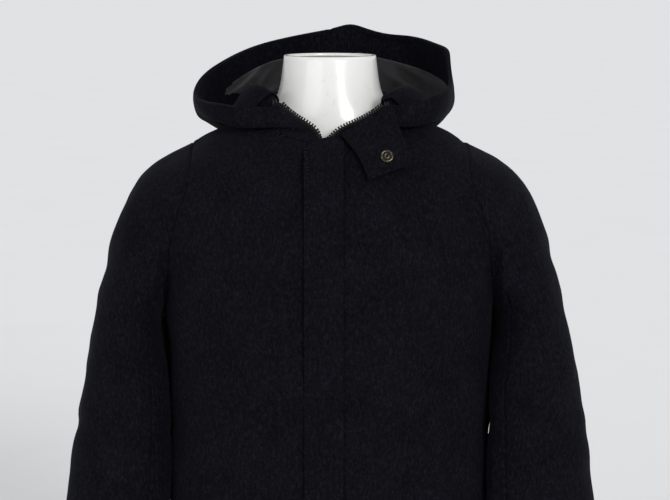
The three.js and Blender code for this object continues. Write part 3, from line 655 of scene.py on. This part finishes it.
hoodPulls = [
    # centre, reach, move, in millimetres
    ((-152, 85, 816), 42, (-5.5, 0, 0)),
    ((-146, 45, 798), 38, (-6.0, 0, -1.0)),
    ((136, 64, 864), 22, (4.0, 0, 2.5)),
    ((24, 162, 895), 16, (0, 0, 3.0)),
    ((-66, -62, 822), 15, (8.5, 0, 2)),
    ((68, -62, 822), 15, (-7.0, 0, 2)),
]
sleevePieces = (3, 4, 5, 6)   # rows of jacketPieces
sleevePulls = [
    ((-192, 0, 470), 60, (4.5, 0, 0)),
    ((-192, 0, 392), 55, (4.5, 0, 0)),
    ((192, 0, 562), 45, (-4.5, 0, 0)),
    ((190, 0, 424), 30, (-2.0, 0, 0)),
]
calm = {
    # the smooth part of the upper chest, on both sides
    "steps": 30,
    "low": 0.700,
    "high": 0.776,
    "inner": 0.050,
    "outer": 0.172,
    "front": -0.02,
}
turnedEdge = {
    "width": {"rim": 0.014, "hem": 0.030},
    "plain": 0.5,             # thickness of the plain cloth, as a share of the doubled edge
    "fullness": 1.6,
    "fromHood": 7,            # the first row of jacketPieces that is part of the hood
}


def makeTree(points):
    tree = KDTree(len(points))
    for index, point in enumerate(points):
        tree.insert(point, index)
    tree.balance()
    return tree


def openEdges(cloth):
    # The open edges of the hood, and those of the jacket below it, each as a tree of its points.
    points = {"rim": [], "hem": []}
    for vert in cloth.verts:
        if vert.is_boundary:
            onHood = any(face.material_index >= turnedEdge["fromHood"] for face in vert.link_faces)
            points["rim" if onHood else "hem"].append(vert.co.copy())
    return {name: makeTree(edge) for name, edge in points.items()}


def turnEdge(piece, tree, width):
    # The cloth is doubled along its open edges: the group scales the wall's thickness.
    group = piece.vertex_groups.new(name="turned")
    plain = turnedEdge["plain"]
    for vert in piece.data.vertices:
        share = max(0.0, 1.0 - tree.find(vert.co)[2] / width)
        share = share * share * (3 - 2 * share)
        share = min(1.0, turnedEdge["fullness"] * share)
        group.add([vert.index], plain + (1 - plain) * share, "REPLACE")


def evenOut(cloth, verts, steps):
    for _ in range(steps):
        bmesh.ops.smooth_vert(cloth, verts=verts, factor=0.5, use_axis_x=True, use_axis_y=True,
                              use_axis_z=True)


def makeJacket():
    cloth = sewTogether(jacketPieces)
    pinCorners(cloth)
    cloth = subdivided(cloth, jacket["levels"])
    inner = [vert for vert in cloth.verts if not vert.is_boundary]
    evenOut(cloth, inner, jacket["evenSteps"])
    chest = [vert for vert in inner if calm["low"] < vert.co.z < calm["high"]
             and calm["inner"] < abs(vert.co.x) < calm["outer"] and vert.co.y < calm["front"]]
    evenOut(cloth, chest, calm["steps"])
    pull(cloth.verts, hoodPulls)
    sleeves = [vert for vert in inner
               if all(face.material_index in sleevePieces for face in vert.link_faces)]
    pull(sleeves, sleevePulls)
    drape(cloth, jacketFolds, jacket["swell"], jacket["swellSize"])
    sinkSeams(cloth, jacket["seamDepth"], jacket["pucker"])
    cloth.normal_update()
    trees = openEdges(cloth)
    for index, (node, name, flat, held, restsOn) in enumerate(jacketPieces):
        piece = clothPiece(splitPiece(cloth, index), name, "wool", (node,))
        edge = "rim" if index >= turnedEdge["fromHood"] else "hem"
        turnEdge(piece, trees[edge], turnedEdge["width"][edge])
        thicken(piece, jacket["wall"] / turnedEdge["plain"], "turned")
    cloth.free()


makeJacket()
print("jacket and outer hood sewn")


inside = {
    "levels": 3,
    "wall": 0.001,
    "neckFront": 30,          # in millimetres, as the rest: the neck's cloth lies in front of this
    "shadeFrom": -104,         # the lining is painted in wool, as painted shade, on the wearer's right of this,
    "shadeAll": -128,          # all of it beyond this,
    "shadeLow": 815,           # below this,
    "shadeLine": (-124, 823, 0.87),   # and above a line through a point, with its slope
}
insidePieces = [
    # node, piece, finish, flat width and length
    ("hood_facing", "hoodFacing", "wool", (0.035, 0.68)),
    ("hood_lining", "hoodLining", "lining", (0.20, 0.54)),
    ("neck_facing", "neckFacing", "wool", (0.04, 0.47)),
]
liningFolds = [
    ("front", 4, -3.2, [(-124, 812), (-104, 826), (-80, 850)]),
    ("front", 3.5, -2.6, [(-108, 808), (-90, 820), (-72, 846)]),
    ("front", 4, -2.6, [(-98, 802), (-80, 808), (-62, 824)]),
    ("front", 5, -2.4, [(128, 822), (108, 836), (84, 850)]),
    ("front", 4, -2.0, [(112, 812), (92, 822), (68, 838)]),
    ("front", 6, -1.8, [(-40, 850), (-8, 838), (36, 850)]),
    ("right", 8, -1.8, [(20, 800), (60, 822), (110, 828)]),
    ("left", 8, -1.8, [(10, 806), (58, 816), (104, 832)]),
]


def isWoolOrShadeInside(place):
    # The neck's own cloth runs over the fold at the front, and at one side the lining is painted in
    # wool, as painted shade.
    x, y, z = place * 1000
    if y < inside["neckFront"]:
        return True
    lineX, lineZ, slope = inside["shadeLine"]
    aboveLine = z > lineZ + slope * (x - lineX)
    return x < inside["shadeFrom"] and (x < inside["shadeAll"] or aboveLine or z < inside["shadeLow"])


def makeHoodInside():
    cloth = sewTogether(insidePieces, False)
    pinCorners(cloth)
    cloth = subdivided(cloth, inside["levels"])
    pull(cloth.verts, hoodPulls)
    atFront = {vert: vert.co.copy() for vert in cloth.verts
               if vert.co.y * 1000 < inside["neckFront"]}
    drape(cloth, liningFolds, 0.0, jacket["swellSize"], 0.0)
    for vert, place in atFront.items():
        vert.co = place
    for index, (node, name, finish, flat) in enumerate(insidePieces):
        piece = clothPiece(splitPiece(cloth, index), name, finish, (node,))
        # The wool slot is also painted on the lining at one side, as painted shade.
        piece.data.materials.append(finishes["wool"])
        for polygon in piece.data.polygons:
            polygon.material_index = int(isWoolOrShadeInside(polygon.center))
        thicken(piece, inside["wall"])
    cloth.free()


makeHoodInside()
print("hood lined")


placket = {
    "node": "placket",
    "name": "zipPlacket",
    "levels": 3,
    "wall": 0.0032,
    "pulls": [((-29, -131, 783), 9, (1.5, 0, -9))],   # rounds its upper corner
    "flat": (0.047, 0.75),
    "restsOn": "frontRight",
}
flap = {
    "node": "throat_flap",
    "name": "throatFlap",
    "levels": 4,
    "wall": 0.0032,
    "pulls": [],
    "flat": (0.07, 0.08),
    "restsOn": "zipPlacket",
}


def makeLoosePiece(settings):
    cloth = bmesh.new()
    addSkin(cloth, settings["node"], 0, True)
    pinCorners(cloth)
    cloth = subdivided(cloth, settings["levels"])
    pull(cloth.verts, settings["pulls"])
    piece = clothPiece(cloth, settings["name"], "wool", (settings["node"],))
    thicken(piece, settings["wall"])


makeLoosePiece(placket)
makeLoosePiece(flap)
print("placket and flap made")


form = {
    "capAbove": 0.86,
    "capLevel": 0.9,          # of the upward part of a face's normal
    "levels": 2,
    "sharp": math.radians(45),
    "crease": 0.85,
    "quadBend": math.radians(40),
    "quadShape": math.radians(60),
}


def makeForm():
    mesh = bmesh.new()
    mesh.from_mesh(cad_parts["torso_form"].data)
    bmesh.ops.remove_doubles(mesh, verts=mesh.verts, dist=skin["weld"])
    bmesh.ops.join_triangles(mesh, faces=mesh.faces, angle_face_threshold=form["quadBend"],
                             angle_shape_threshold=form["quadShape"])
    layer = mesh.edges.layers.float.new("crease_edge")
    for edge in mesh.edges:
        if edge.calc_face_angle(0.0) > form["sharp"]:
            edge[layer] = form["crease"]
    piece = clothPiece(mesh, "torsoForm", "form_white", ("torso_form",))
    piece.data.materials.append(finishes["cap"])
    # Faces on the flat top of the neck take the grey finish.
    for polygon in piece.data.polygons:
        onCap = polygon.normal.z > form["capLevel"] and polygon.center.z > form["capAbove"]
        polygon.material_index = int(onCap)
    smooth = piece.modifiers.new("smooth", "SUBSURF")
    smooth.levels = smooth.render_levels = form["levels"]


makeForm()


def dressNode(node, finish):
    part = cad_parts[node]
    for slot in part.material_slots:
        slot.material = finishes[finish]


for node in ("zip_slider", "zip_pull"):
    dressNode(node, "antique_brass")
for node in ("zip_tape_right", "zip_tape_left"):
    dressNode(node, "zip_tape")
print("form made and zip parts dressed")


zipper = {
    "pitch": 0.0032,
    "tooth": (0.0046, 0.0021, 0.0030),   # across the tape, along it, through it
    "overhang": 0.0026,       # of a tooth past the edge of its tape
    "tapeWall": 0.0008,
    "openFrom": 0.774,        # height where the two rows part
    "openOver": 0.010,
    "endTeeth": 3,            # over these the free edge of the tape narrows
    "flatten": 0.2,           # share left of the tape's own slant in depth, where its edge is free
    "headWidth": 0.9,         # of a tooth, as a share of its root
    "headThickness": 0.8,
    "middle": -0.008,
    "corner": math.radians(120),
    "stop": (0.0044, 0.0030, 0.0032),
    "stopHead": 0.9,
    "cubeFaces": 6,
}
zipSides = [
    # side, node, way up the tape to its first tooth, width of tape that shows where it is open
    ("Right", "zip_tape_right", 0.002, 0.0060),
    ("Left", "zip_tape_left", 0.0036, 0.0030),
]


def tapeEdges(node):
    # Points up both long edges of a zip tape, first the edge that carries the teeth.
    mesh = bmesh.new()
    addSkin(mesh, node, 0, True)
    loop = []
    start = next(edge for edge in mesh.edges if edge.is_boundary)
    vert = start.verts[0]
    edge = start
    while True:
        loop.append(vert.co.copy())
        vert = edge.other_vert(vert)
        edge = next(other for other in vert.link_edges if other.is_boundary and other != edge)
        if edge == start:
            break
    mesh.free()
    corners = []
    for index, point in enumerate(loop):
        before = loop[index - 1] - point
        after = loop[(index + 1) % len(loop)] - point
        if before.angle(after) < zipper["corner"]:
            corners.append(index)
    sides = []
    for first, last in zip(corners, corners[1:] + [corners[0] + len(loop)]):
        sides.append([loop[index % len(loop)] for index in range(first, last + 1)])
    sides.sort(key=len)
    long = [side if side[0].z < side[-1].z else side[::-1] for side in sides[-2:]]
    long.sort(key=lambda side: sum(abs(point.x - zipper["middle"]) for point in side) / len(side))
    return long


def alongEdge(edge, other, start, pitch):
    # Places along the edge: the point, the way along, the way out of the tape, the normal.
    places = []
    covered = 0.0
    wanted = start
    rate = (len(other) - 1) / (len(edge) - 1)
    for index, (point, after) in enumerate(zip(edge, edge[1:])):
        run = (after - point).length
        along = (after - point).normalized()
        while wanted <= covered + run:
            share = (wanted - covered) / run
            place = point.lerp(after, share)
            opposite = min(round((index + share) * rate), len(other) - 1)
            outward = place - other[opposite]
            outward = (outward - along * outward.dot(along)).normalized()
            places.append((place, along, outward, outward.cross(along).normalized()))
            wanted += pitch
        covered += run
    return places


def makeTooth(mesh, spot, size, head):
    place, along, outward, normal = spot
    turn = Matrix((outward, along, normal)).transposed().to_4x4()
    made = bmesh.ops.create_cube(mesh, size=1.0)["verts"]
    for vert in made:
        if vert.co.x > 0:
            vert.co.y *= head
            vert.co.z *= zipper["headThickness"]
    bmesh.ops.scale(mesh, vec=size, verts=made)
    bmesh.ops.translate(mesh, vec=(zipper["overhang"] - size[0] / 2, 0, 0), verts=made)
    bmesh.ops.transform(mesh, matrix=Matrix.Translation(place) @ turn, verts=made)


def widened(places, edges, beyond):
    # Places moved out where the zip is open, so that its tape shows past the cloth's edge.
    moved = []
    for index, (place, along, outward, _) in enumerate(places):
        opened = min(1.0, max(0.0, (place.z - zipper["openFrom"]) / zipper["openOver"]))
        toEnd = (len(places) - index) / zipper["endTeeth"]
        over = max((edges.find(place)[0] - place).dot(outward), 0.0)
        turned = Vector((outward.x, outward.y * zipper["flatten"], outward.z))
        turned = (turned - along * turned.dot(along)).normalized()
        tip = place + outward * over * opened + turned * beyond * min(opened, toEnd)
        moved.append((tip, along, turned, turned.cross(along).normalized()))
    return moved


def addTape(mesh, places, moved):
    # The strip of tape between the old places and the moved ones.
    rows = []
    for (place, _, _, normal), (tip, _, _, _) in zip(places, moved):
        lift = normal * zipper["tapeWall"] / 2
        points = (place + lift, tip + lift, tip - lift, place - lift)
        rows.append([mesh.verts.new(point) for point in points])
    for row, after in zip(rows, rows[1:]):
        for corner in range(4):
            following = (corner + 1) % 4
            mesh.faces.new((row[corner], row[following], after[following], after[corner]))
    mesh.faces.new(rows[0][::-1])
    mesh.faces.new(rows[-1])


def clothEdges():
    # The open edges of the cloth beside the zip, as a tree of their points.
    points = []
    for name in ("frontRight", "frontLeft", "hoodRight", "hoodLeft"):
        mesh = bmesh.new()
        mesh.from_mesh(bpy.data.objects[name].data)
        points += [vert.co.copy() for vert in mesh.verts if vert.is_boundary]
        mesh.free()
    return makeTree(points)


def makeZip():
    edges = clothEdges()
    for side, node, start, beyond in zipSides:
        toothed, other = tapeEdges(node)
        places = alongEdge(toothed, other, start, zipper["pitch"])
        moved = widened(places, edges, beyond)
        tape = bmesh.new()
        addTape(tape, places, moved)
        bmesh.ops.recalc_face_normals(tape, faces=tape.faces)
        clothPiece(tape, "tapeEdge" + side, "zip_tape")
        teeth = bmesh.new()
        for spot in moved[:-1]:
            makeTooth(teeth, spot, zipper["tooth"], zipper["headWidth"])
        makeTooth(teeth, moved[-1], zipper["stop"], zipper["stopHead"])
        bmesh.ops.recalc_face_normals(teeth, faces=teeth.faces)
        piece = clothPiece(teeth, "zipTeeth" + side, "teeth")
        piece.data.materials.append(finishes["antique_brass"])
        stopFrom = len(piece.data.polygons) - zipper["cubeFaces"]
        for polygon in piece.data.polygons:
            polygon.use_smooth = False
            polygon.material_index = int(polygon.index >= stopFrom)
        print("teeth on the", side.lower(), len(places))


makeZip()


snap = {
    # radius and height of each step of the socket's turned profile, in millimetres
    "profile": [
        (0.0, 0.5), (1.0, 0.5), (1.2, 1.1), (1.8, 1.75), (2.6, 1.8), (3.1, 1.4), (3.5, 0.7),
        (4.3, 0.6), (4.8, 1.0), (5.6, 1.55), (6.5, 1.45), (7.1, 0.9), (7.4, 0.3), (7.4, 0.0),
        (0.0, 0.0)],
    "shadedGrooves": [(0.0, 1.1), (3.3, 4.7)],   # from and to which radius its recesses are painted dark, as painted shade
    "sides": 48,
}


def snapSeat():
    # The foot of the solid's own axis, which is its thinnest way, and that axis.
    points = np.array([vert.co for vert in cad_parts["snap_socket"].data.vertices])
    centre = (points.max(axis=0) + points.min(axis=0)) / 2
    axes = np.linalg.eigh(np.cov((points - centre).T))[1]
    axis = Vector(axes[:, 0]).normalized()
    if axis.y > 0:
        axis = -axis
    heights = points @ np.array(axis)
    return Vector(centre) + axis * (heights.min() - Vector(centre).dot(axis)), axis


def makeSnap():
    foot, axis = snapSeat()
    mesh = bmesh.new()
    verts = [mesh.verts.new((radius / 1000, 0, height / 1000))
             for radius, height in snap["profile"]]
    edges = [mesh.edges.new(pair) for pair in zip(verts, verts[1:])]
    bmesh.ops.spin(mesh, geom=verts + edges, cent=(0, 0, 0), axis=(0, 0, 1), angle=math.tau,
                   steps=snap["sides"], use_merge=True)
    bmesh.ops.remove_doubles(mesh, verts=mesh.verts, dist=skin["weld"])
    bmesh.ops.recalc_face_normals(mesh, faces=mesh.faces)
    turn = axis.to_track_quat("Z", "Y").to_matrix().to_4x4()
    bmesh.ops.transform(mesh, matrix=Matrix.Translation(foot) @ turn, verts=mesh.verts)
    piece = clothPiece(mesh, "snapSocket", "antique_brass", ("snap_socket",))
    # The second finish, the dark tooth finish, is painted shade in the socket's centre and ring
    # recesses.
    piece.data.materials.append(finishes["teeth"])
    for polygon in piece.data.polygons:
        offset = polygon.center - foot
        radius = (offset - axis * offset.dot(axis)).length * 1000
        inShadedGroove = any(low < radius < high for low, high in snap["shadedGrooves"])
        polygon.material_index = int(inShadedGroove)


makeSnap()
print("zip and snap made")


tacks = {
    # in millimetres
    "from": (-27.2, 774.0),
    "to": (-23.0, 733.0),
    "count": 12,
    "length": 1.8,
    "radius": 0.17,
    "uneven": 0.25,           # of the step from one to the next
    "astray": 0.8,
    "lean": 1.6,
    "leanShare": 0.4,
    "lift": 0.1,
}


def makeTacks():
    # Short uneven stitches down the free upper edge of the placket.
    points = [vert.co for vert in bpy.data.objects["zipPlacket"].data.vertices]
    mesh = bmesh.new()
    (startX, startZ), (endX, endZ) = tacks["from"], tacks["to"]
    stretch = (1, 1, tacks["length"] / 2 / tacks["radius"])
    for index in range(tacks["count"]):
        uneven = random.uniform(-tacks["uneven"], tacks["uneven"])
        share = (index + uneven) / (tacks["count"] - 1)
        x = startX + share * (endX - startX) + random.uniform(-tacks["astray"], tacks["astray"])
        z = startZ + share * (endZ - startZ)
        near = min(points, key=lambda point: (point.x * 1000 - x) ** 2 + (point.z * 1000 - z) ** 2)
        made = bmesh.ops.create_icosphere(mesh, subdivisions=2, radius=tacks["radius"] / 1000)["verts"]
        bmesh.ops.scale(mesh, vec=stretch, verts=made)
        lean = tacks["lean"] * random.uniform(-tacks["leanShare"], tacks["leanShare"])
        place = Matrix.Translation((x / 1000, near.y - tacks["lift"] / 1000, z / 1000))
        bmesh.ops.transform(mesh, matrix=place @ Matrix.Rotation(lean, 4, "Y"), verts=made)
    clothPiece(mesh, "placketTacks", "thread")


makeTacks()
print("placket tacked")


floor = {
    "colour": (0.90, 0.905, 0.91),
    "dimmer": 0.985,          # its darker patches, as a share of the colour
    "patches": (0.3, 0.7),
    "patchScale": 3.0,
    "roughness": 0.9,
    "specular": 0.0,
    "size": 160.0,
}


def floorMaterial():
    material, nodes, links, shader = newMaterial("paleFloor")
    mottle = noiseNode(nodes, links, plainCoordinates(nodes, links), floor["patchScale"], 2.0, 0.5)
    pale = floor["colour"]
    dim = tuple(channel * floor["dimmer"] for channel in pale)
    colour = rampNode(nodes, links, mottle, list(zip(floor["patches"], (dim, pale))))
    links.new(colour, shader.inputs["Base Color"])
    shader.inputs["Roughness"].default_value = floor["roughness"]
    shader.inputs["Specular IOR Level"].default_value = floor["specular"]
    return material


def makeFloor():
    mesh = bmesh.new()
    bmesh.ops.create_grid(mesh, x_segments=1, y_segments=1, size=floor["size"] / 2)
    data = bpy.data.meshes.new("studioFloor")
    mesh.to_mesh(data)
    mesh.free()
    data.materials.append(floorMaterial())
    sheet = bpy.data.objects.new("studioFloor", data)
    scene.collection.objects.link(sheet)


makeFloor()


camera = {"at": (0.00575, -2.100, 0.967), "down": math.radians(8.8), "lens": 98.113433, "sensor": 36.0}


def makeCamera():
    data = bpy.data.cameras.new("viewCamera")
    data.lens = camera["lens"]
    data.sensor_width = camera["sensor"]
    data.dof.use_dof = False
    holder = bpy.data.objects.new("viewCamera", data)
    turn = Matrix.Rotation(math.radians(90) - camera["down"], 4, "X")
    holder.matrix_world = Matrix.Translation(camera["at"]) @ turn
    scene.collection.objects.link(holder)
    scene.camera = holder


makeCamera()


lamps = [
    # name, place, aim, spread in degrees, strength, colour
    ("keyLamp", (1.3, -2.7, 1.75), (0, 0, 0.6), 20.0, 1.55, (1.0, 0.995, 0.98)),
    ("fillLamp", (-1.8, -2.4, 1.1), (0, 0, 0.6), 40.0, 0.55, (0.98, 0.99, 1.0)),
]


def makeLamp(name, place, aim, spread, strength, colour):
    data = bpy.data.lights.new(name, "SUN")
    data.angle = math.radians(spread)
    data.energy = strength
    data.color = colour
    lamp = bpy.data.objects.new(name, data)
    turn = (Vector(aim) - Vector(place)).to_track_quat("-Z", "Y").to_matrix().to_4x4()
    lamp.matrix_world = Matrix.Translation(place) @ turn
    scene.collection.objects.link(lamp)


for row in lamps:
    makeLamp(*row)


air = {"colour": (0.975, 0.985, 1.0, 1), "strength": 0.645}


def makeAir():
    world = bpy.data.worlds.new("studioAir")
    world.use_nodes = True
    background = world.node_tree.nodes["Background"]
    background.inputs["Color"].default_value = air["colour"]
    background.inputs["Strength"].default_value = air["strength"]
    scene.world = world
    scene.view_settings.view_transform = "Standard"


makeAir()
print("stage, camera and lamps set")
